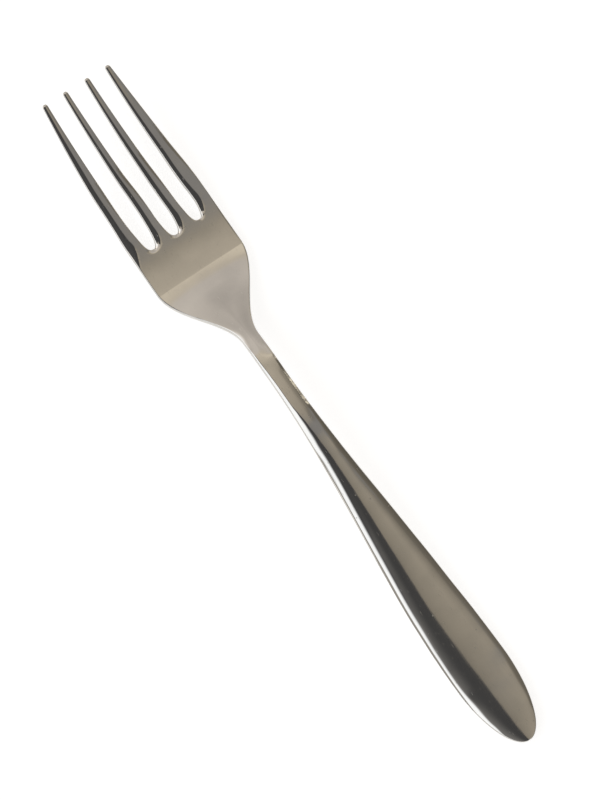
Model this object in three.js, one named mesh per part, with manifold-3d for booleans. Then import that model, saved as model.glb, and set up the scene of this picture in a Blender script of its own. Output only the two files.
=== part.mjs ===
// A four-tine table fork in polished stainless steel, lying face up on a table.
// Millimetres: +Y runs from the handle to the tine tips, +X is to the right, and z = 0 is the table.
// Stations along the fork are measured from the tine tips towards the end of the handle.
import * as THREE from "three";
import { mergeVertices } from "three/addons/utils/BufferGeometryUtils.js";
import Module from "manifold-3d";

const { lerp, smoothstep } = THREE.MathUtils;

// Lengths along the fork
const tineLength = 42.5; // straight-sided part of a tine
const slotEndDepth = 4.5; // rounded bottom of a slot, in the root panel
const rootLength = 11; // solid panel behind the slots
const shoulderLength = 24.4;
const neckLength = 23.6;
const handleLength = 99;
const handleEndLength = 21; // half-elliptic end of the handle
const headRestLength = 6; // flat underside of the shoulder that the head lies on
const restLength = 15; // flat underside that the handle lies on
const tipRoundLength = 1.4;

// Widths across the fork
const headWidth = 26.7;
const tipSpan = 21.1; // over the outer edges of the outer tips
const tipWidth = 1.55;
const slotPitch = 7.2; // between slot centres at the root
const slotWidth = 3.7; // at the root
const neckWidth = 5;
const handleWidth = 16;
const handleEndWidth = 1.2; // blunt middle of the rounded end

// Thicknesses, at the edges, and the crown that the middle stands above them
const tipThickness = 1.5;
const rootThickness = 2.2;
const neckThickness = 2.6;
const neckCrown = 0.8;
const handleThickness = 1.8;
const handleCrown = 1.4;
const edgeRound = 0.6;

// Heights of the underside above the table
const panelRise = 0.7; // at the tines' roots
const tipRise = 8.2;
const neckRise = 5.2;

// Shape of the curves, and how finely they are stepped
const slotCount = 3;
const outerTaperPower = 1.5; // the outer edges draw in faster towards the tips
const tipBlunt = 0.4; // share of a tip's section left at its very end
const roundLimit = 0.45; // most of a wall that a rounded edge may take
const roundSteps = 2;
const crownSteps = 6;
const tineTopSteps = 1;
const tipSteps = 3;
const tineSteps = 14;
const slotEndSteps = 6;
const headRestSteps = 3;
const shoulderSteps = 9;
const neckSteps = 8;
const handleSteps = 16;
const handleEndSteps = 9;
const trimAllowance = 2; // waste on the root panel's blank, cut off at both ends

// Polished stainless steel, in the tone that each section of the fork shows
const tineTone = 0xb4b1aa;
const rootTone = 0xbab3a4;
const shoulderTone = 0xc2bab0;
const neckTone = 0xbfb6ab;
const handleTone = 0xb8b3a6;
const steelRoughness = 0.16;

// Stations where one section passes into the next
const rootStart = tineLength;
const panelLength = slotEndDepth + rootLength;
const shoulderStart = rootStart + panelLength;
const headRestEnd = shoulderStart + headRestLength;
const neckStart = shoulderStart + shoulderLength;
const handleStart = neckStart + neckLength;
const overallLength = handleStart + handleLength;
const neckMiddle = neckStart + neckLength / 2;
const endStart = overallLength - handleEndLength;
const restStart = overallLength - restLength;
const panelSlope = panelRise / panelLength;

const wasm = await Module();
wasm.setup();

// The origin is under the middle of the fork's length.
function stationToY(station) {
  return overallLength / 2 - station;
}

// Height of the underside. The root panel slopes up to the tines, which sweep on from it in a parabola.
// The shoulder lies flat where it meets the panel, the neck arches, and the end of the handle lies flat.
function undersideAt(station) {
  if (station < rootStart) {
    const reach = (rootStart - station) / tineLength;
    const straightRise = panelSlope * (rootStart - station);
    const sweep = tipRise - panelRise - panelSlope * tineLength;
    return panelRise + straightRise + sweep * reach * reach;
  }
  if (station < shoulderStart) {
    return panelSlope * (shoulderStart - station);
  }
  if (station < neckMiddle) {
    return neckRise * smoothstep(station, headRestEnd, neckMiddle);
  }
  return neckRise * (1 - smoothstep(station, neckMiddle, restStart));
}

// Half of the outline's width from the shoulder to the end of the handle.
function halfWidthAt(station) {
  if (station < neckStart) {
    return lerp(headWidth, neckWidth, smoothstep(station, shoulderStart, neckStart)) / 2;
  }
  if (station < endStart) {
    return lerp(neckWidth, handleWidth, smoothstep(station, neckMiddle, endStart)) / 2;
  }
  const reach = Math.min(1, (station - endStart) / handleEndLength);
  return Math.hypot(handleWidth * Math.sqrt(1 - reach * reach), handleEndWidth * reach) / 2;
}

function edgeThicknessAt(station) {
  const towardsNeck = lerp(rootThickness, neckThickness, smoothstep(station, shoulderStart, neckStart));
  return lerp(towardsNeck, handleThickness, smoothstep(station, neckMiddle, endStart));
}

// The crown grows from the flat panel to the handle, and sinks again as the rounded end draws in.
function crownAt(station) {
  const towardsNeck = neckCrown * smoothstep(station, shoulderStart, neckStart);
  const crown = lerp(towardsNeck, handleCrown, smoothstep(station, neckMiddle, endStart));
  return station > endStart ? (crown * halfWidthAt(station) * 2) / handleWidth : crown;
}

// The radius of a rounded edge, which a thin or narrow wall limits.
function roundFor(width, thickness) {
  return Math.min(edgeRound, roundLimit * width, roundLimit * thickness);
}

// One cross-section: a rectangle with rounded corners whose top bulges by the crown.
function sectionRing({ station, left, right, underside, thickness, crown, topSteps }) {
  const middle = (left + right) / 2;
  const half = (right - left) / 2;
  const round = roundFor(right - left, thickness);
  const points = [];
  const add = (x, z) => points.push(new THREE.Vector3(middle + x, stationToY(station), underside + z));
  const bulge = (x) => crown * (1 - (x / half) * (x / half));
  const corner = (sideways, upwards, startAngle) => {
    for (let step = 0; step <= roundSteps; step += 1) {
      const angle = startAngle + (step / roundSteps) * (Math.PI / 2);
      const x = sideways * (half - round) + round * Math.cos(angle);
      const z = (upwards ? thickness - round : round) + round * Math.sin(angle);
      add(x, upwards ? z + bulge(x) : z);
    }
  };
  corner(-1, false, Math.PI);
  corner(1, false, 1.5 * Math.PI);
  corner(1, true, 0);
  for (let step = 1; step < topSteps; step += 1) {
    const x = (half - round) * (1 - (2 * step) / topSteps);
    add(x, thickness + bulge(x));
  }
  corner(-1, true, 0.5 * Math.PI);
  return points;
}

function middleOf(ring) {
  const sum = new THREE.Vector3();
  ring.forEach((point) => sum.add(point));
  return sum.divideScalar(ring.length);
}

// A closed solid through a row of rings that runs from the tips towards the handle, with flat ends.
function loft(rings) {
  const count = rings[0].length;
  const last = (rings.length - 1) * count;
  const points = [...rings.flat(), middleOf(rings[0]), middleOf(rings[rings.length - 1])];
  const faces = [];
  for (let start = 0; start < last; start += count) {
    for (let step = 0; step < count; step += 1) {
      const next = (step + 1) % count;
      faces.push(start + step, start + next, start + count + next);
      faces.push(start + step, start + count + next, start + count + step);
    }
  }
  for (let step = 0; step < count; step += 1) {
    const next = (step + 1) % count;
    faces.push(points.length - 2, next, step);
    faces.push(points.length - 1, last + step, last + next);
  }
  const geometry = new THREE.BufferGeometry().setFromPoints(points);
  geometry.setIndex(faces);
  geometry.computeVertexNormals();
  return geometry;
}

function evenStations(start, end, steps) {
  return Array.from({ length: steps + 1 }, (_, step) => lerp(start, end, step / steps));
}

// Stations that crowd together towards the blunt end of a rounded stretch.
function roundedStations(start, end, steps) {
  return evenStations(0, Math.PI / 2, steps).map((angle) => start + (end - start) * Math.sin(angle));
}

function bodyRing(station) {
  const half = halfWidthAt(station);
  return sectionRing({
    station,
    left: -half,
    right: half,
    underside: undersideAt(station),
    thickness: edgeThicknessAt(station),
    crown: crownAt(station),
    topSteps: crownSteps,
  });
}

function slotCentre(slot) {
  return (slot - (slotCount - 1) / 2) * slotPitch;
}

// One tine, numbered from the left: it tapers from its stub on the root panel to a rounded tip.
function tineGeometry(tine) {
  const tipPitch = (tipSpan - tipWidth) / slotCount;
  const tipCentre = (tine - slotCount / 2) * tipPitch;
  const isLeftmost = tine === 0;
  const isRightmost = tine === slotCount;
  const rootLeft = isLeftmost ? -headWidth / 2 : slotCentre(tine - 1) + slotWidth / 2;
  const rootRight = isRightmost ? headWidth / 2 : slotCentre(tine) - slotWidth / 2;
  const ring = (station) => {
    const reach = 1 - station / tineLength;
    const outerReach = Math.pow(reach, outerTaperPower);
    const left = lerp(rootLeft, tipCentre - tipWidth / 2, isLeftmost ? outerReach : reach);
    const right = lerp(rootRight, tipCentre + tipWidth / 2, isRightmost ? outerReach : reach);
    const thickness = lerp(rootThickness, tipThickness, reach);
    const nearTip = Math.max(0, 1 - station / tipRoundLength);
    const scale = Math.sqrt(1 - (1 - tipBlunt * tipBlunt) * nearTip * nearTip);
    const inset = ((1 - scale) * (right - left)) / 2;
    return sectionRing({
      station,
      left: left + inset,
      right: right - inset,
      underside: undersideAt(station) + ((1 - scale) * thickness) / 2,
      thickness: thickness * scale,
      crown: 0,
      topSteps: tineTopSteps,
    });
  };
  const tipStations = roundedStations(tipRoundLength, 0, tipSteps).reverse();
  const shankStations = evenStations(tipRoundLength, tineLength, tineSteps).slice(1);
  return loft([...tipStations, ...shankStations].map(ring));
}

function toSolid(geometry) {
  const bare = geometry.clone();
  bare.deleteAttribute("normal");
  bare.deleteAttribute("uv");
  const merged = mergeVertices(bare);
  const vertProperties = new Float32Array(merged.attributes.position.array);
  const triVerts = new Uint32Array(merged.index.array);
  return new wasm.Manifold(new wasm.Mesh({ numProp: 3, vertProperties, triVerts }));
}

function toGeometry(solid) {
  const { vertProperties, triVerts } = solid.getMesh();
  const geometry = new THREE.BufferGeometry();
  geometry.setAttribute("position", new THREE.BufferAttribute(vertProperties, 3));
  geometry.setIndex(new THREE.BufferAttribute(triVerts, 1));
  geometry.computeVertexNormals();
  return geometry;
}

// The flat panel with the rounded slot bottoms: a plate with rounded edges, trimmed square at both ends
// and then sloped up towards the tines.
function rootPanelGeometry() {
  const half = headWidth / 2;
  const front = stationToY(rootStart);
  const back = stationToY(shoulderStart);
  const blank = new THREE.Shape();
  blank.moveTo(-half, back - trimAllowance);
  blank.lineTo(half, back - trimAllowance);
  blank.lineTo(half, front + trimAllowance);
  for (let slot = slotCount - 1; slot >= 0; slot -= 1) {
    const centre = slotCentre(slot);
    blank.lineTo(centre + slotWidth / 2, front + trimAllowance);
    blank.lineTo(centre + slotWidth / 2, front);
    blank.absellipse(centre, front, slotWidth / 2, slotEndDepth, 0, -Math.PI, true);
    blank.lineTo(centre - slotWidth / 2, front + trimAllowance);
  }
  blank.lineTo(-half, front + trimAllowance);
  blank.closePath();
  const round = roundFor(headWidth, rootThickness);
  const plate = new THREE.ExtrudeGeometry(blank, {
    depth: rootThickness - 2 * round,
    curveSegments: slotEndSteps,
    bevelThickness: round,
    bevelSize: round,
    bevelOffset: -round,
    bevelSegments: roundSteps,
  });
  plate.translate(0, 0, round);
  const keptStretch = new THREE.BoxGeometry(2 * headWidth, panelLength, 2 * rootThickness);
  keptStretch.translate(0, (front + back) / 2, rootThickness / 2);
  const panel = toGeometry(toSolid(plate).intersect(toSolid(keptStretch)));
  panel.translate(0, -back, 0);
  panel.applyMatrix4(new THREE.Matrix4().makeShear(0, 0, 0, panelSlope, 0, 0));
  panel.translate(0, back, 0);
  return panel;
}

function shoulderGeometry() {
  const flat = evenStations(shoulderStart, headRestEnd, headRestSteps);
  const rising = evenStations(headRestEnd, neckStart, shoulderSteps).slice(1);
  return loft([...flat, ...rising].map(bodyRing));
}

function neckGeometry() {
  return loft(evenStations(neckStart, handleStart, neckSteps).map(bodyRing));
}

function handleGeometry() {
  const shank = evenStations(handleStart, endStart, handleSteps);
  const end = roundedStations(endStart, overallLength, handleEndSteps).slice(1);
  return loft([...shank, ...end].map(bodyRing));
}

function addSection(fork, name, geometry, color) {
  const steel = new THREE.MeshStandardMaterial({ color, roughness: steelRoughness, metalness: 1 });
  const mesh = new THREE.Mesh(geometry, steel);
  mesh.name = name;
  fork.add(mesh);
}

const fork = new THREE.Group();
for (let tine = 0; tine <= slotCount; tine += 1) {
  addSection(fork, `tine_${tine + 1}`, tineGeometry(tine), tineTone);
}
addSection(fork, "root_panel", rootPanelGeometry(), rootTone);
addSection(fork, "shoulder", shoulderGeometry(), shoulderTone);
addSection(fork, "neck", neckGeometry(), neckTone);
addSection(fork, "handle", handleGeometry(), handleTone);

export default fork;
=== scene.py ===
# A polished steel table fork, lying face up on a white table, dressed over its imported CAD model.
# Millimetres until the mesh is made. Stations run along the fork from the tine tips to the handle's end.
import math

import bpy
import numpy as np
from mathutils import Matrix, Vector


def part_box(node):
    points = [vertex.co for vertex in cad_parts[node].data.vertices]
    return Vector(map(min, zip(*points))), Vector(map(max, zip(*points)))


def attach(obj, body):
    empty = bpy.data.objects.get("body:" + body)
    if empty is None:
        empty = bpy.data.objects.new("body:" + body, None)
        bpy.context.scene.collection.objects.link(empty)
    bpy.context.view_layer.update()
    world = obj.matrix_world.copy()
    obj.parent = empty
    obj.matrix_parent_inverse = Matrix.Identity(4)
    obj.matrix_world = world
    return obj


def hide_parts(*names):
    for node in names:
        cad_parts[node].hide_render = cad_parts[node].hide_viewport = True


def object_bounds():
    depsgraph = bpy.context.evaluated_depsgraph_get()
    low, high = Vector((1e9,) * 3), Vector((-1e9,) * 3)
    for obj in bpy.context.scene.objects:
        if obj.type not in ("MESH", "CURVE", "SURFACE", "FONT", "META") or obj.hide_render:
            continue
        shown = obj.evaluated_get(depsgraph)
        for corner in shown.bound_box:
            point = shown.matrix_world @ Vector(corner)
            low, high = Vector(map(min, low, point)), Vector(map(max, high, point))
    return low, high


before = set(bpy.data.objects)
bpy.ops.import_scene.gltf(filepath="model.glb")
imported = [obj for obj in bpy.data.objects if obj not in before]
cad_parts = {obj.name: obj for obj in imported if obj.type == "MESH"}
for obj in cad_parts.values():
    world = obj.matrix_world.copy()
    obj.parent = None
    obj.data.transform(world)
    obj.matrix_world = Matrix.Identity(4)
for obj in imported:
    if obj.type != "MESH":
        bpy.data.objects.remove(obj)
cadLow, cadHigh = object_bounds()
print("frame loaded:", len(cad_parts), "CAD nodes")

perMetre = 1000
tiny = 1e-6  # keeps divisors above zero and borders safe from rounding


def boxOf(node):
    # the node's box, from metres to millimetres
    low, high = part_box(node)
    return np.array(low) * perMetre, np.array(high) * perMetre


tipY = cadHigh[1] * perMetre
panelLow, panelHigh = boxOf("root_panel")
_, neckHigh = boxOf("neck")
handleLow, handleHigh = boxOf("handle")

# stations where the fork's form changes, from the CAD nodes' boxes
station = {
    "root": tipY - panelHigh[1],
    "shoulder": tipY - panelLow[1],
    "neck": tipY - neckHigh[1],
    "handle": tipY - handleHigh[1],
    "end": tipY - handleLow[1],
}
station["arch"] = (station["neck"] + station["handle"]) / 2

fork = {
    "tineCount": 4,
    "tipRound": 1.0,  # length of a rounded tip
    "tipBlunt": 0.4,  # share of the width left at its very end
    "tipSpan": 21.1,
    "tipWidth": 1.55,
    # the tines are a little uneven, as stamped and ground: the tips' places, and for each tine's two edges
    # a bow halfway along and a swell before the slots' bottoms
    "tipShifts": (0, -0.2, 0.05, -0.05),
    "bows": ((-0.2, -0.38), (-0.35, -0.28), (-0.52, -0.28), (-0.48, -0.27)),
    "swells": ((0.22, -0.13), (0.17, 0.3), (-0.07, 0.12), (-0.2, 0.18)),
    "swellRise": (25, 34),  # stations
    "swellFall": (36, 43),
    "headWidth": panelHigh[0] - panelLow[0],
    "outerPower": 1.5,  # the outer edges draw in faster towards the tips
    "slotPitch": 7.2,
    "slotWidth": 4.0,
    "slotCurve": 36.0,  # stations between which a slot closes
    "slotEnd": 47.0,
    "slotPower": 2.8,  # above 2, a slot's bottom is blunter than an ellipse
    "neckWidth": 5.0,
    "handleWidth": 0.987 * (handleHigh[0] - handleLow[0]),  # a little less than the pattern's
    "endLength": 21.0,
    "endWidth": 1.2,
    "tipThickness": 1.5,
    "rootThickness": 2.2,
    "neckThickness": 3.3,
    "handleThickness": 3.2,
    "tipRise": 8.2,
    "neckRise": 4.9,
    "headRest": 6.0,  # flat stretches under the shoulder and the handle's end
    "endRest": 15.0,
    "crease": 0.8,  # how far behind the panel the shoulder's top starts to rise
    "creaseFade": 130,  # station where that rise has faded out
    "archTop": 106.5,
    "flankTilt": 0.27,
    "flankShifts": (0.6, -0.3, -2.0),  # the inner tines' flanks end a little later or sooner
    "lipTilt": 0.38,
    "lipCurve": 0.3,
    "glintSide": (-0.1, 0.5),  # from a slot's middle to the right, where its glint sets in
    "deepest": 1.5,  # most that the upper side falls, in half thicknesses
    "edgeReach": 3.0,  # distances from the outline are worked out up to this
    "edgeRound": 0.2,
    "undersideRound": 0.45,
}
station["endStart"] = station["end"] - fork["endLength"]
station["restStart"] = station["end"] - fork["endRest"]
station["restEnd"] = station["shoulder"] + fork["headRest"]

# how finely the fork is divided: steps across a tine, and rows along each stretch
divisions = {
    "across": 20,
    "tine": 76,
    "curve": 60,  # a slot's bottom and the handle's end
    "tipSkip": 5,  # a tip takes every fifth row of the curve
    "slotBack": 16,
    "slotBackLength": 3.0,
    "slotBackPower": 1.7,  # above 1, these rows draw together towards the slots
    "panel": 16,
    "crease": 26,
    "creaseBefore": 1.2,
    "creaseAfter": 2.0,
    "shoulder": 46,
    "neck": 50,
    "handle": 136,
    "slopeSteps": 2000,
    "rowDigits": 4,
    "weldDigits": 5,
}

# how far the upper side falls from its middle to its edges, by station
crownSteps = [(58, 0), (80, 0.62), (84, 0.5), (87, 0.1), (89.5, 0.03), (92, 0.05), (95, 0.11), (105, 0.12),
              (110, 0.29), (114, 0.47), (121, 0.82), (126, 0.93), (140, 0.93), (150, 0.98), (160, 1.0),
              (180, 0.92), (190, 0.92)]
# how much it leans to the left, by station
leanSteps = [(87, 0), (89.5, 0.03), (91, 0.03), (95, 0), (165, 0), (180, 0.018), (188, 0.03), (196, 0.035)]
# how far the handle sways to the right, by station
swaySteps = [(132, 0), (150, -0.15), (162, -0.27), (172, -0.16), (187, 0)]
# width and slope of the sloped edge on the upper side, by station
bevelSteps = [(0, 0.1), (58, 0.1), (66, 0.15), (71, 0.5), (77, 0.5), (82, 0.3), (88, 0.6), (94, 0.8),
              (98, 0.9), (104, 1.05), (114, 1.9), (118, 1.8), (126, 1.75), (140, 1.8), (160, 1.65),
              (180, 1.6), (190, 1.75), (197, 1.0), (202, 0.15)]
bevelTilts = [(0, 0.52), (108, 0.52), (114, 0.48), (126, 0.4), (140, 0.32), (205, 0.32)]
# what the left side of neck and handle adds to that width, and the width of a rounder lip there
leftSteps = [(103, 0), (106, 0.4), (108.5, 0.5), (112, 0.28), (116, 0.15), (125, 0.08), (135, -0.1),
             (150, -0.03), (165, 0), (175, -0.2), (185, -0.38), (196, 0)]
lipSteps = [(116, 0), (128, 0.45), (150, 0.6), (175, 0.6), (186, 0.5), (196, 0)]
# what a slot's right and left side add to the sloped edge's width
glintSteps = [(44.5, 0), (46, 0.35), (47, 0.9), (48.4, 0.9), (49, 0)]
rimSteps = [(30, 0), (37, 0.25), (46.5, 0.25), (48, 0)]
# share that curves into the upper side, by station: of a sloped edge, of the left one, and of a tine's flank
bevelCurves = [(58, 0.6), (84, 0.6), (88, 0.08), (98, 0.08), (102, 0.12), (114, 1.0), (205, 1.0)]
leftCurves = [(58, 0.6), (84, 0.6), (88, 0.08), (98, 0.08), (102, 0.12), (110, 0.62), (116, 0.75),
              (125, 0.6), (135, 0.5), (150, 0.43), (185, 0.4), (205, 0.4)]
flankCurves = [(0, 0.25), (41, 0.25), (44, 0.08), (52, 0.08)]
# width of a tine's flank, by station: the fork's left edge, the inner tines' left edges, and the right edges
outerFlank = [(0, 0.8), (10, 1.1), (20, 1.45), (30, 1.6), (38, 1.75), (42, 2.15), (44, 2.35), (46, 1.85),
              (48, 1.05), (50, 0.3), (51, 0)]
innerFlank = [(0, 0.65), (10, 0.8), (20, 1.05), (30, 1.35), (38, 1.4), (42, 1.6), (44, 1.7), (45.5, 1.65),
              (46.5, 1.5), (48, 1.2), (49.2, 0.3), (50, 0)]
rightFlank = [(0, 0.7), (10, 0.95), (20, 1.2), (24, 1.2), (44, 0)]
# slope from the crease over the neck to the end of the handle, by station
archSlopes = [(58.8, 0), (59, 0.028), (61.2, 0.03), (62.5, 0.06), (64, 0.085), (66, 0.13), (70, 0.2),
              (76, 0.26), (80, 0.24), (84, 0.15), (86.5, 0.105), (91, 0.022), (96, 0.02), (102, 0.015),
              (106.5, 0), (109, -0.006), (113.5, -0.08), (120, -0.081), (142, -0.083), (170, -0.055),
              (185, -0.016), (190, 0)]
# slope of the head's upward sweep, by station
sweepSlopes = [(0, 0.27), (3, 0.225), (10, 0.21), (20, 0.165), (30, 0.13), (38, 0.128), (42, 0.115),
               (44, 0.094), (46, 0.0875), (48, 0.081), (50, 0.07), (52, 0.045), (54, 0.025), (58, 0)]


def smooth(value, low, high):
    # 0 up to low, 1 from high on, and 3t^2 - 2t^3 between them
    t = np.clip((value - low) / (high - low), 0, 1)
    return t * t * (3 - 2 * t)


def mix(first, second, share):
    # straight line from first to second
    return first + (second - first) * share


def eased(s, steps):
    # smooth steps from each value to the next, by station
    places, values = np.array(steps, float).T
    place = np.clip(np.searchsorted(places, s, side="right") - 1, 0, len(places) - 2)
    return mix(values[place], values[place + 1], smooth(s, places[place], places[place + 1]))


def easedColumns(s, *tables):
    # the eased values of each table as a column, to go with a grid that has a row for each station
    return [eased(s, steps)[:, None] for steps in tables]


def forkRows():
    # stations of the mesh's rows, close together where the form turns quickly
    quarter = np.linspace(0, math.pi / 2, divisions["curve"])
    slotCurve, slotEnd = fork["slotCurve"], fork["slotEnd"]
    slotBack = divisions["slotBackLength"]
    crease = station["shoulder"] + fork["crease"]
    creaseStart, creaseEnd = crease - divisions["creaseBefore"], crease + divisions["creaseAfter"]
    parts = [
        fork["tipRound"] * (1 - np.sin(quarter[::divisions["tipSkip"]])),
        np.linspace(fork["tipRound"], slotCurve, divisions["tine"]),
        slotCurve + (slotEnd - slotCurve) * np.sin(quarter),
        slotEnd + slotBack * np.linspace(0, 1, divisions["slotBack"]) ** divisions["slotBackPower"],
        np.linspace(slotEnd + slotBack, creaseStart, divisions["panel"]),
        np.linspace(creaseStart, creaseEnd, divisions["crease"]),
        np.linspace(creaseEnd, station["neck"], divisions["shoulder"]),
        np.linspace(station["neck"], station["handle"], divisions["neck"]),
        np.linspace(station["handle"], station["endStart"], divisions["handle"]),
        station["endStart"] + fork["endLength"] * np.sin(quarter),
        [0, slotEnd, station["end"]],
    ]
    return np.unique(np.concatenate(parts).round(divisions["rowDigits"]))


def halfWidths(s):
    # head width, drawn in by a smooth step to the neck, out by another to the handle, then half an ellipse
    shoulder = mix(fork["headWidth"], fork["neckWidth"], smooth(s, station["shoulder"], station["neck"]))
    handle = mix(shoulder, fork["handleWidth"], smooth(s, station["arch"], station["endStart"]))
    reach = np.clip((s - station["endStart"]) / fork["endLength"], 0, 1)
    return np.hypot(handle * np.sqrt(1 - reach ** 2), fork["endWidth"] * reach) / 2


def tipScale(s):
    # 1 along the tine, and a quarter ellipse down to the blunt end over the rounded tip
    near = np.clip(1 - s / fork["tipRound"], 0, 1)
    return np.sqrt(1 - (1 - fork["tipBlunt"] ** 2) * near ** 2)


def laneEdges(s, lane):
    # one tine's left and right edge: a taper from its tip with a slight bow, a parabola, and a slight swell,
    # then the slot bottoms' blunt ellipses, then a fixed share of the body's width, moved by the sway
    half = fork["headWidth"] / 2
    gaps = fork["tineCount"] - 1
    place = lane - gaps / 2
    tipMiddle = place * (fork["tipSpan"] - fork["tipWidth"]) / gaps + fork["tipShifts"][lane]
    reach = np.clip(1 - s / station["root"], 0, 1)
    deep = np.clip((s - fork["slotCurve"]) / (fork["slotEnd"] - fork["slotCurve"]), 0, 1)
    slotHalf = fork["slotWidth"] / 2 * (1 - deep ** fork["slotPower"]) ** (1 / fork["slotPower"])
    swelling = smooth(s, *fork["swellRise"]) * (1 - smooth(s, *fork["swellFall"]))
    edges = []
    for side, bow, swell in zip((-1, 1), fork["bows"][lane], fork["swells"][lane]):
        boundary = place + side / 2
        if abs(boundary) == fork["tineCount"] / 2:
            root = np.full_like(s, side * half)
            draw = reach ** fork["outerPower"]
            share = side
        else:
            root = boundary * fork["slotPitch"] - side * slotHalf
            draw = reach
            share = boundary * fork["slotPitch"] / half
        edge = mix(root, tipMiddle + side * fork["tipWidth"] / 2, draw)
        edge += bow * 4 * reach * (1 - reach) + swell * swelling
        edges.append(np.where(s > fork["slotEnd"], share * halfWidths(s) + eased(s, swaySteps), edge))
    left, right = edges
    inset = (1 - tipScale(s)) * (right - left) / 2
    return left + inset, right - inset


def addUp(s, slopes, start, end):
    # height gained from start to each station: the slope, straight between its places, summed in small steps
    fine = np.linspace(start, end, divisions["slopeSteps"])
    slope = np.interp(fine, *zip(*slopes))
    height = np.concatenate([[0], np.cumsum((slope[1:] + slope[:-1]) / 2 * np.diff(fine))])
    return np.interp(s, fine, height)


def undersides(s):
    # the head's sweep from the panel's back to the tips, a flat, the neck's arch and a flat
    sweep = addUp(s, sweepSlopes, 0, station["shoulder"])
    rise = addUp(s, archSlopes, station["restEnd"], fork["archTop"])
    fall = addUp(s, archSlopes, fork["archTop"], station["restStart"])
    arch = rise / rise.max() - fall / fall.min()
    return fork["tipRise"] * (1 - sweep / sweep.max()) + fork["neckRise"] * arch


def thicknesses(s):
    # in the middle: tip to root in a line, then smooth steps to the neck and to the handle
    tine = mix(fork["tipThickness"], fork["rootThickness"], np.clip(s / station["root"], 0, 1))
    neck = mix(tine, fork["neckThickness"], smooth(s, station["shoulder"], station["neck"]))
    return mix(neck, fork["handleThickness"], smooth(s, station["arch"], station["endStart"]))


def crowns(s):
    # fall by station, which shrinks with the width over the rounded end
    crown = eased(s, crownSteps)
    return np.where(s > station["endStart"], crown * 2 * halfWidths(s) / fork["handleWidth"], crown)


def creaseRises(s):
    # the upper side's own rise over the flat behind the crease, which fades out on the handle
    rise = addUp(s, archSlopes, station["shoulder"], station["restEnd"])
    return rise * (1 - smooth(s, station["neck"], fork["creaseFade"]))


def slopeOff(distance, reach, tilt, curve):
    # drop towards the outline: none beyond the reach, a parabola over its inner share, then a straight slope
    share = np.clip(1 - distance / np.maximum(reach, tiny), 0, 1)
    shape = np.where(share < curve, share ** 2 / (2 * curve), share - curve / 2)
    return tilt * reach * shape


def flanks(distance, s, steps):
    # the sloped flank of a tine, of a width given by station
    reach = np.interp(s, *zip(*steps))[:, None]
    return slopeOff(distance, reach, fork["flankTilt"], eased(s, flankCurves)[:, None])


def roundOff(distance, reach):
    # quarter ellipse: 0 at the outline, 1 from the reach on
    share = np.clip(distance / reach, 0, 1)
    return np.sqrt(1 - (1 - share) ** 2)


def outlineRims(s, lanes):
    # the outline as rows of points: the fork's outer edges with the handle's end and the tips, then the left
    # and the right edges that the tines turn to the slots
    first, last = lanes[0][0], lanes[-1][1]
    outer = [np.stack([edge, s], 1) for edge in (first, last)]
    outer.append(np.array([[first[-1], s[-1]], [last[-1], s[-1]]]))
    outer += [np.array([[left[0], s[0]], [right[0], s[0]]]) for left, right in lanes]
    slotted = s <= fork["slotEnd"] + tiny
    edges = [np.stack([edge[slotted], s[slotted]], 1) for lane in lanes for edge in lane]
    return outer, edges[2::2], edges[1:-1:2]


def outlineDistance(x, s, rims):
    # distance of each grid point from the outline, up to a limit, row by row against the outline near it
    far = fork["edgeReach"]
    starts = np.concatenate([rim[:-1] for rim in rims])
    ends = np.concatenate([rim[1:] for rim in rims])
    along = ends - starts
    lengths = np.maximum((along ** 2).sum(1), tiny ** 2)
    distance = np.full(x.shape, far)
    for row in range(x.shape[0]):
        near = (starts[:, 1] < s[row] + far) & (ends[:, 1] > s[row] - far)
        if not near.any():
            continue
        point = np.stack([x[row], np.full_like(x[row], s[row])], 1)[:, None]
        offset = point - starts[near][None]
        share = np.clip((offset * along[near]).sum(2) / lengths[near], 0, 1)
        gap = offset - share[..., None] * along[near]
        distance[row] = np.minimum(far, np.sqrt((gap ** 2).sum(2)).min(1))
    return distance


def upperFall(x, s, outer, lefts, right):
    # how far the upper side falls, from the distances to the outer edges and the tines' left and right edges:
    # the flanks, the sloped edges, the lip on the left, the lean and the crown, a parabola across the fork
    fall = np.where(x < 0, flanks(outer, s, outerFlank), flanks(outer, s, rightFlank))
    fall = np.maximum(fall, flanks(right, s, rightFlank))
    for left, shift in zip(lefts, fork["flankShifts"]):
        fall = np.maximum(fall, flanks(left, s - shift, innerFlank))
    bevel, tilt, curve = easedColumns(s, bevelSteps, bevelTilts, bevelCurves)
    leftWidth, leftCurve, lip = easedColumns(s, leftSteps, leftCurves, lipSteps)
    glint, rim, lean, sway = easedColumns(s, glintSteps, rimSteps, leanSteps, swaySteps)
    onLeft = x < sway
    outerWidth = bevel + np.where(onLeft, leftWidth, 0)
    sloped = slopeOff(outer, outerWidth, tilt, np.where(onLeft, leftCurve, curve))
    fromSlot = x - fork["slotPitch"] * np.round(x / fork["slotPitch"])
    leftEdge = bevel + glint * smooth(fromSlot, *fork["glintSide"])
    sloped = np.maximum(sloped, slopeOff(np.minimum.reduce(lefts), leftEdge, tilt, curve))
    sloped = np.maximum(sloped, slopeOff(right, bevel + rim, tilt, curve))
    fall += sloped - lean * x
    fall += np.where(onLeft, slopeOff(outer, lip, fork["lipTilt"], fork["lipCurve"]), 0)
    return fall + crowns(s)[:, None] * ((x - sway) / halfWidths(s)[:, None]) ** 2


def gridFaces(rows, columns):
    # the four-sided faces between neighbouring points of a grid, seen from above
    index = np.arange(rows * columns).reshape(rows, columns)
    return np.stack([index[:-1, :-1], index[1:, :-1], index[1:, 1:], index[:-1, 1:]], 2).reshape(-1, 4)


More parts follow.
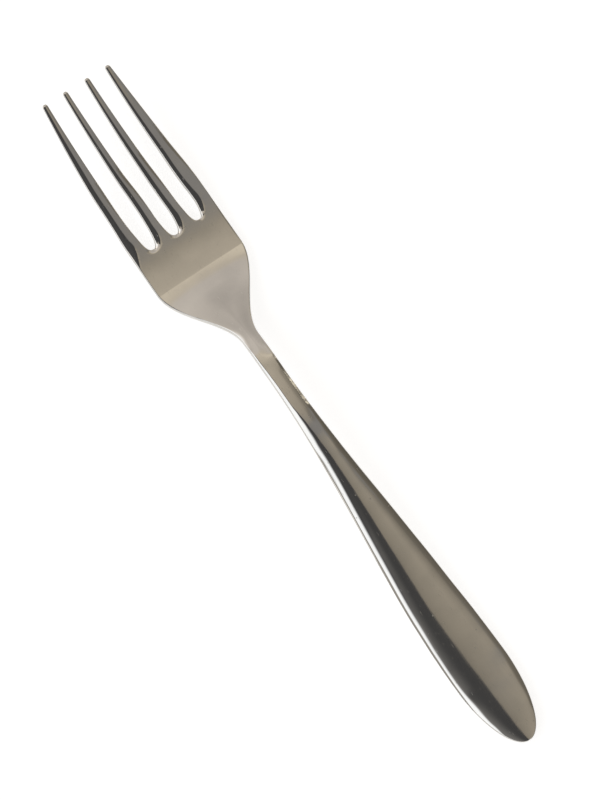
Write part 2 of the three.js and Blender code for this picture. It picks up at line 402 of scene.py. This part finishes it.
def forkMesh():
    # four lanes side by side, each an upper and a lower sheet over (station, share of the lane's width):
    # middle height +- half the thickness times the rounded edge, less the upper side's fall
    s = forkRows()
    across = (1 - np.cos(np.linspace(0, math.pi, divisions["across"] + 1))) / 2
    lanes = [laneEdges(s, lane) for lane in range(fork["tineCount"])]
    outerRims, leftRims, rightRims = outlineRims(s, lanes)
    rise = creaseRises(s)
    bottom = undersides(s) + rise / 2 * smooth(s, station["restEnd"], station["neck"])
    top = undersides(s) + thicknesses(s) + rise
    middle = ((top + bottom) / 2)[:, None]
    half = ((top - bottom) / 2 * tipScale(s))[:, None]
    quads = gridFaces(len(s), len(across))
    points, faces, count = [], [], 0
    for leftEdge, rightEdge in lanes:
        x = leftEdge[:, None] + (rightEdge - leftEdge)[:, None] * across
        y = np.broadcast_to((tipY - s)[:, None], x.shape)
        outer = outlineDistance(x, s, outerRims)
        lefts = [outlineDistance(x, s, [rim]) for rim in leftRims]
        right = outlineDistance(x, s, rightRims)
        distance = np.minimum.reduce([outer, right, *lefts])
        fall = np.minimum(upperFall(x, s, outer, lefts, right), fork["deepest"] * half)
        upper = middle + (half - fall) * roundOff(distance, fork["edgeRound"])
        lower = middle - half * roundOff(distance, fork["undersideRound"])
        for sheet, order in ((upper, quads), (lower, quads[:, ::-1])):
            points.append(np.stack([x, y, sheet], 2).reshape(-1, 3))
            faces.append(order + count)
            count += sheet.size
    return weld(np.concatenate(points), np.concatenate(faces))


def weld(points, faces):
    # points that fall together become one, so the sheets join at the outline and the lanes behind the slots
    rounded = points.round(divisions["weldDigits"])
    _, first, place = np.unique(rounded, axis=0, return_index=True, return_inverse=True)
    place = place.reshape(-1)
    polygons = []
    for face in place[faces]:
        corners = list(dict.fromkeys(face.tolist()))
        if len(corners) > 2:
            polygons.append(corners)
    return points[first], polygons


def addMesh(name, points, polygons):
    # a smooth mesh at the origin, from millimetres to metres
    mesh = bpy.data.meshes.new(name)
    mesh.from_pydata((points / perMetre).tolist(), [], polygons)
    mesh.validate()
    mesh.polygons.foreach_set("use_smooth", [True] * len(mesh.polygons))
    mesh.update()
    piece = bpy.data.objects.new(name, mesh)
    bpy.context.scene.collection.objects.link(piece)
    return piece


forkPoints, forkPolygons = forkMesh()
forkPiece = addMesh("fork_steel", forkPoints, forkPolygons)
print("fork mesh:", len(forkPoints), "points,", len(forkPolygons), "faces")


def addNode(tree, kind, **values):
    # a node with some of its settings
    node = tree.nodes.new(kind)
    for name, value in values.items():
        setattr(node, name, value)
    return node


def link(tree, source, target):
    tree.links.new(source, target)


def feed(tree, value, target):
    # a number or a colour is set on the socket, and anything else is linked to it
    if isinstance(value, (int, float)):
        target.default_value = value
    elif isinstance(value, tuple):
        target.default_value = (*value, 1)
    else:
        link(tree, value, target)


def mathNode(tree, operation, *values):
    # one sum, product or other operation
    node = addNode(tree, "ShaderNodeMath", operation=operation)
    for value, target in zip(values, node.inputs):
        feed(tree, value, target)
    return node.outputs[0]


def rangeNode(tree, value, fromLow, fromHigh, toLow=0.0, toHigh=1.0):
    # smooth step of a value from one range to another
    node = addNode(tree, "ShaderNodeMapRange", interpolation_type="SMOOTHSTEP")
    for number, target in zip((value, fromLow, fromHigh, toLow, toHigh), node.inputs):
        feed(tree, number, target)
    return node.outputs[0]


def mixColour(tree, share, first, second):
    # straight mix of two colours, which this node takes at its sockets 6 and 7 and gives at 2
    node = addNode(tree, "ShaderNodeMix", data_type="RGBA")
    for value, place in ((share, 0), (first, 6), (second, 7)):
        feed(tree, value, node.inputs[place])
    return node.outputs[2]


def noiseNode(tree, vector, detail, scale=1.0):
    # soft noise from 0 to 1
    node = addNode(tree, "ShaderNodeTexNoise")
    link(tree, vector, node.inputs["Vector"])
    node.inputs["Scale"].default_value = scale
    node.inputs["Detail"].default_value = detail
    return node.outputs[0]


def stretched(tree, vector, scale, turn=0.0):
    # coordinates scaled unevenly, so that a noise on them draws out into lines
    node = addNode(tree, "ShaderNodeMapping")
    link(tree, vector, node.inputs["Vector"])
    node.inputs["Rotation"].default_value = (0, 0, math.radians(turn))
    node.inputs["Scale"].default_value = scale
    return node.outputs[0]


steel = {
    "colour": (0.64, 0.62, 0.585),
    "dull": (0.6, 0.583, 0.552),
    "dullRange": (0.35, 0.7),  # of the cloud that dulls it
    "cloudScale": 140,
    "lineStretch": (5200, 90, 1200),
    "fineDetail": 3.0,
    "scratchDetail": 1.0,
    "scratches": (
        {"stretch": (6400, 420, 420), "turn": 24, "range": (0.73, 0.82)},
        {"stretch": (5600, 380, 380), "turn": -31, "range": (0.74, 0.83)},
    ),
    "speckScale": 260,
    "speckRange": (0.08, 0.03),
    "speckColour": (0.3, 0.28, 0.25),
    "speckShare": 0.25,
    "roughLow": 0.06,
    "roughHigh": 0.11,
    "roughRange": (0.3, 0.7),
    "lineShare": 0.6,  # lines and cloud make up what is rough
    "cloudShare": 0.4,
    "scratchRough": 0.22,
    "speckRough": 0.3,
    "bumpStrength": 0.6,
    "lineHeight": 0.000003,  # metres
    "scratchHeight": 0.000006,
    "waveHeight": 0.000012,
}


def bumpNode(tree, height, distance, normal=None):
    # raised by the height times the distance, or sunk where the distance is negative
    node = addNode(tree, "ShaderNodeBump", invert=distance < 0)
    node.inputs["Strength"].default_value = steel["bumpStrength"]
    node.inputs["Distance"].default_value = abs(distance)
    link(tree, height, node.inputs["Height"])
    if normal:
        link(tree, normal, node.inputs["Normal"])
    return node.outputs["Normal"]


def scratchNode(tree, place, scratch):
    # thin lines where a stretched and turned noise is highest
    along = stretched(tree, place, scratch["stretch"], scratch["turn"])
    return rangeNode(tree, noiseNode(tree, along, steel["scratchDetail"]), *scratch["range"])


def speckNode(tree, place):
    # small dots round the middles of scattered cells
    node = addNode(tree, "ShaderNodeTexVoronoi")
    link(tree, place, node.inputs["Vector"])
    node.inputs["Scale"].default_value = steel["speckScale"]
    return rangeNode(tree, node.outputs["Distance"], *steel["speckRange"])


def steelMaterial():
    # polished stainless steel: slow waves, fine lengthwise polishing lines, faint scratches and a few specks
    material = bpy.data.materials.new("polished_steel_worn")
    material.use_nodes = True
    tree = material.node_tree
    shader = tree.nodes["Principled BSDF"]
    shader.inputs["Metallic"].default_value = 1.0
    place = addNode(tree, "ShaderNodeTexCoord").outputs["Object"]
    lines = noiseNode(tree, stretched(tree, place, steel["lineStretch"]), steel["fineDetail"])
    cloud = noiseNode(tree, place, steel["fineDetail"], steel["cloudScale"])
    crossing = [scratchNode(tree, place, scratch) for scratch in steel["scratches"]]
    scratches = mathNode(tree, "MAXIMUM", *crossing)
    specks = speckNode(tree, place)
    colour = mixColour(tree, rangeNode(tree, cloud, *steel["dullRange"]), steel["colour"], steel["dull"])
    speckShare = mathNode(tree, "MULTIPLY", specks, steel["speckShare"])
    link(tree, mixColour(tree, speckShare, colour, steel["speckColour"]), shader.inputs["Base Color"])
    lineWear = mathNode(tree, "MULTIPLY", lines, steel["lineShare"])
    wear = mathNode(tree, "ADD", lineWear, mathNode(tree, "MULTIPLY", cloud, steel["cloudShare"]))
    rough = rangeNode(tree, wear, *steel["roughRange"], steel["roughLow"], steel["roughHigh"])
    rough = mathNode(tree, "ADD", rough, mathNode(tree, "MULTIPLY", scratches, steel["scratchRough"]))
    rough = mathNode(tree, "ADD", rough, mathNode(tree, "MULTIPLY", specks, steel["speckRough"]))
    link(tree, rough, shader.inputs["Roughness"])
    normal = bumpNode(tree, cloud, steel["waveHeight"])
    normal = bumpNode(tree, lines, steel["lineHeight"], normal)
    normal = bumpNode(tree, scratches, -steel["scratchHeight"], normal)
    link(tree, normal, shader.inputs["Normal"])
    return material


forkPiece.data.materials.append(steelMaterial())
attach(forkPiece, "root")
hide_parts("tine_1", "tine_2", "tine_3", "tine_4", "root_panel", "shoulder", "neck", "handle")
print("steel on the fork")

floorLook = {
    "half": 3000.0,
    "drop": 0.05,  # below the fork's lowest point
    "paper": 0.9,  # what lights the fork from below
    "white": 0.76,  # its own white, where it is seen
    "shade": 0.54,  # the rest, which takes the shadow
}


def floorMaterial():
    # white paper: mostly its own white for what looks at it or mirrors it, while the rest takes the shadow
    material = bpy.data.materials.new("white_paper")
    material.use_nodes = True
    tree = material.node_tree
    tree.nodes.remove(tree.nodes["Principled BSDF"])
    paper = addNode(tree, "ShaderNodeBsdfDiffuse")
    feed(tree, (floorLook["paper"],) * 3, paper.inputs["Color"])
    faint = addNode(tree, "ShaderNodeBsdfDiffuse")
    feed(tree, (floorLook["shade"],) * 3, faint.inputs["Color"])
    glow = addNode(tree, "ShaderNodeEmission")
    glow.inputs["Strength"].default_value = floorLook["white"]
    seen = addNode(tree, "ShaderNodeAddShader")
    link(tree, glow.outputs[0], seen.inputs[0])
    link(tree, faint.outputs[0], seen.inputs[1])
    path = addNode(tree, "ShaderNodeLightPath").outputs
    mirrored = mathNode(tree, "MAXIMUM", path["Is Glossy Ray"], path["Is Transmission Ray"])
    choose = addNode(tree, "ShaderNodeMixShader")
    link(tree, mathNode(tree, "MAXIMUM", path["Is Camera Ray"], mirrored), choose.inputs[0])
    link(tree, paper.outputs[0], choose.inputs[1])
    link(tree, seen.outputs[0], choose.inputs[2])
    link(tree, choose.outputs[0], tree.nodes["Material Output"].inputs["Surface"])
    return material


floorCorners = np.array([[-1, -1], [1, -1], [1, 1], [-1, 1]]) * floorLook["half"]
floorPoints = np.column_stack([floorCorners, np.full(len(floorCorners), -floorLook["drop"])])
floor = addMesh("floor", floorPoints, [[0, 1, 2, 3]])
floor.data.materials.append(floorMaterial())

# the room that the steel mirrors: tints, and light levels, gains and soft borders by degrees
# from straight up, to the right or, where noted, ahead
room = {
    "warm": (1.0, 0.9, 0.745),
    "grey": (1.0, 0.97, 0.945),
    "pale": (1.0, 0.93, 0.86),
    "plain": (1.0, 0.98, 0.955),
    "white": (1.0, 1.0, 1.0),  # what the camera sees past the floor
    "overHandle": [(0, 0.33), (7, 0.378), (22, 0.445), (27, 0.4), (33, 0.28), (40, 0.21), (90, 0.15)],
    "behindGain": [(-85, 0.5), (-67, 0.9), (-59, 2.7), (-50, 2.9), (-41, 1.2), (-30, 1.0)],  # ahead
    "warmToPlain": (-18, -30),  # ahead
    "overTines": [(0, 0.285), (10, 0.315), (36, 0.3), (45, 0.225), (58, 0.18), (90, 0.15)],
    "greyToWarm": (36, 46),
    "handleToTines": (-1.6, -0.5),  # ahead
    "beyond": [(6.4, 0.39), (10, 0.47), (13, 0.57), (16, 0.6), (17.5, 0.66), (20.8, 0.71), (27, 0.7),
               (31, 0.71), (36, 0.66), (42, 0.61), (48, 0.61), (54, 1.0), (62, 1.0), (70, 0.5),
               (80, 0.3)],  # ahead, past the tips
    "panelGain": [(-75, 0.6), (-60, 1.8), (-45, 2.2), (-37, 1.7), (-20, 1.22), (1, 1.06), (7, 1.0),
                  (8.5, 1.0), (11.5, 0.62), (20, 0.5), (34, 0.44), (90, 0.4)],
    "shoulderGain": [(-75, 0.6), (-60, 1.8), (-45, 2.2), (-37, 1.7), (-30, 1.3), (-22, 1.06), (0, 1.1),
                     (4, 1.11), (5.5, 1.06), (7, 1.0), (9, 0.97), (13, 1.04), (20, 0.95), (32, 0.87),
                     (90, 0.85)],
    "panelToShoulder": (13, 15.5),  # ahead
    "warmToPale": (20, 25),  # ahead
    "overheadToBeyond": (5.5, 8.5),  # ahead
    "wall": (0.42, 0.4, 0.37),  # beyond the window
    "wallBorder": (-60, -75),
}
# plain patches in the room, with the degrees over which each fades in or out
patches = {
    "strip": {  # a lighter strip past the tips
        "colour": (0.86, 0.775, 0.64),
        "right": ((3.6, 4.8), (12, 10)),
        "ahead": ((16.3, 17.4), (20.8, 19.6)),
    },
    "lamp": {  # low on the right
        "colour": (2.4, 2.2, 1.8),
        "right": ((50, 60),),
        "ahead": ((11.05, 11.35), (11.85, 11.55)),
    },
    "screen": {  # a dark screen on the left
        "colour": (0.075, 0.075, 0.077),
        "right": ((-0.6, -1.8),),
        "ahead": ((6.5, 1.5), (-30, -20)),
    },
    "sideScreen": {  # of the same colour
        "right": ((-2.5, -5), (-36, -32)),
        "ahead": ((23, 21), (-30, -20)),
    },
    "screenEdge": {
        "colour": (0.25, 0.245, 0.24),
        "right": ((-9, -23),),
        "ahead": ((-2, -4),),
    },
    "window": {
        "colour": (1.5, 1.55, 1.62),
        "right": ((-24, -52), (-74, -66)),
        "ahead": ((-34, -24), (56, 46)),
    },
}
rightAngle = 90.0


def levelNode(tree, angle, stops):
    # light level by angle, in straight lines between the stops, on a ramp from -90 to 90 degrees
    top = max(level for _, level in stops)
    node = addNode(tree, "ShaderNodeValToRGB")
    elements = node.color_ramp.elements
    while len(elements) < len(stops):
        elements.new(0.5)
    for element, (degrees, level) in zip(elements, stops):
        element.position = (degrees + rightAngle) / (2 * rightAngle)
        element.color = (level / top,) * 3 + (1,)
    fromLeft = mathNode(tree, "ADD", angle, rightAngle)
    link(tree, mathNode(tree, "DIVIDE", fromLeft, 2 * rightAngle), node.inputs[0])
    return mathNode(tree, "MULTIPLY", node.outputs[0], top)


def tinted(tree, tint, level):
    # a tint times a light level
    node = addNode(tree, "ShaderNodeVectorMath", operation="SCALE")
    node.inputs[0].default_value = room[tint]
    link(tree, level, node.inputs["Scale"])
    return node.outputs[0]


def tintChange(tree, angle, border, first, second, level):
    # one tint that turns into another over a border, times a light level
    share = rangeNode(tree, angle, *room[border])
    return mixColour(tree, share, tinted(tree, first, level), tinted(tree, second, level))


def patchShare(tree, right, ahead, name):
    # 1 where both angles are within the patch's borders, with soft sides
    share = 1.0
    for angle, borders in ((right, patches[name]["right"]), (ahead, patches[name]["ahead"])):
        for border in borders:
            share = mathNode(tree, "MULTIPLY", share, rangeNode(tree, angle, *border))
    return share


def ceilingColour(tree, right, ahead):
    # over the handle, over the tines and past the tips, each a tint times its light level
    behind = levelNode(tree, ahead, room["behindGain"])
    level = mathNode(tree, "MULTIPLY", levelNode(tree, right, room["overHandle"]), behind)
    overHandle = tintChange(tree, ahead, "warmToPlain", "warm", "plain", level)
    level = levelNode(tree, right, room["overTines"])
    overTines = tintChange(tree, right, "greyToWarm", "grey", "warm", level)
    overhead = mixColour(tree, rangeNode(tree, ahead, *room["handleToTines"]), overHandle, overTines)
    gains = [levelNode(tree, right, room[name]) for name in ("panelGain", "shoulderGain")]
    gain = rangeNode(tree, ahead, *room["panelToShoulder"], *gains)
    level = mathNode(tree, "MULTIPLY", levelNode(tree, ahead, room["beyond"]), gain)
    beyond = tintChange(tree, ahead, "warmToPale", "warm", "pale", level)
    return mixColour(tree, rangeNode(tree, ahead, *room["overheadToBeyond"]), overhead, beyond)


def roomWorld():
    # the ceiling, with its patches, the screen, the wall and the window laid over it in turn
    world = bpy.data.worlds.new("room")
    world.use_nodes = True
    tree = world.node_tree
    direction = addNode(tree, "ShaderNodeSeparateXYZ")
    link(tree, addNode(tree, "ShaderNodeTexCoord").outputs["Generated"], direction.inputs[0])
    sideways, lengthwise, upward = direction.outputs
    right = mathNode(tree, "DEGREES", mathNode(tree, "ARCTAN2", sideways, upward))
    ahead = mathNode(tree, "DEGREES", mathNode(tree, "ARCSINE", lengthwise))
    shares = {name: patchShare(tree, right, ahead, name) for name in patches}
    colour = ceilingColour(tree, right, ahead)
    for name in ("strip", "lamp"):
        colour = mixColour(tree, shares[name], colour, patches[name]["colour"])
    dark = mixColour(tree, shares["screenEdge"], patches["screen"]["colour"], patches["screenEdge"]["colour"])
    screens = mathNode(tree, "MAXIMUM", shares["screen"], shares["sideScreen"])
    colour = mixColour(tree, screens, colour, dark)
    colour = mixColour(tree, rangeNode(tree, right, *room["wallBorder"]), colour, room["wall"])
    colour = mixColour(tree, shares["window"], colour, patches["window"]["colour"])
    seen = addNode(tree, "ShaderNodeLightPath").outputs["Is Camera Ray"]
    link(tree, mixColour(tree, seen, colour, room["white"]), tree.nodes["Background"].inputs["Color"])
    return world


bpy.context.scene.world = roomWorld()
bpy.context.scene.view_settings.view_transform = "Standard"
print("floor and room made")

cameraLook = {
    "azimuth": -34.42,
    "elevation": 78.0,
    "distance": 450.0,
    "focal": 1743.1,  # pixels
    "aim": (0.57, 1.68),  # to the right and up from the frame's origin
    "imageHeight": 800,
    "sensor": 36.0,
    "clipStart": 0.01,  # metres
    "clipEnd": 50.0,
}


def addCamera():
    # above the fork, turned and lifted about the point it aims at
    turn = math.radians(cameraLook["azimuth"])
    lift = math.radians(cameraLook["elevation"])
    back = Vector((math.sin(turn) * math.cos(lift), -math.cos(turn) * math.cos(lift), math.sin(lift)))
    right = Vector((0, 0, 1)).cross(back).normalized()
    up = back.cross(right)
    target = right * cameraLook["aim"][0] + up * cameraLook["aim"][1]
    data = bpy.data.cameras.new("camera")
    data.sensor_width = cameraLook["sensor"]
    data.lens = cameraLook["focal"] / cameraLook["imageHeight"] * data.sensor_width
    data.clip_start = cameraLook["clipStart"]
    data.clip_end = cameraLook["clipEnd"]
    camera = bpy.data.objects.new("camera", data)
    bpy.context.scene.collection.objects.link(camera)
    turned = Matrix((right, up, back)).transposed().to_4x4()
    camera.matrix_world = Matrix.Translation((target + back * cameraLook["distance"]) / perMetre) @ turned
    bpy.context.scene.camera = camera


addCamera()
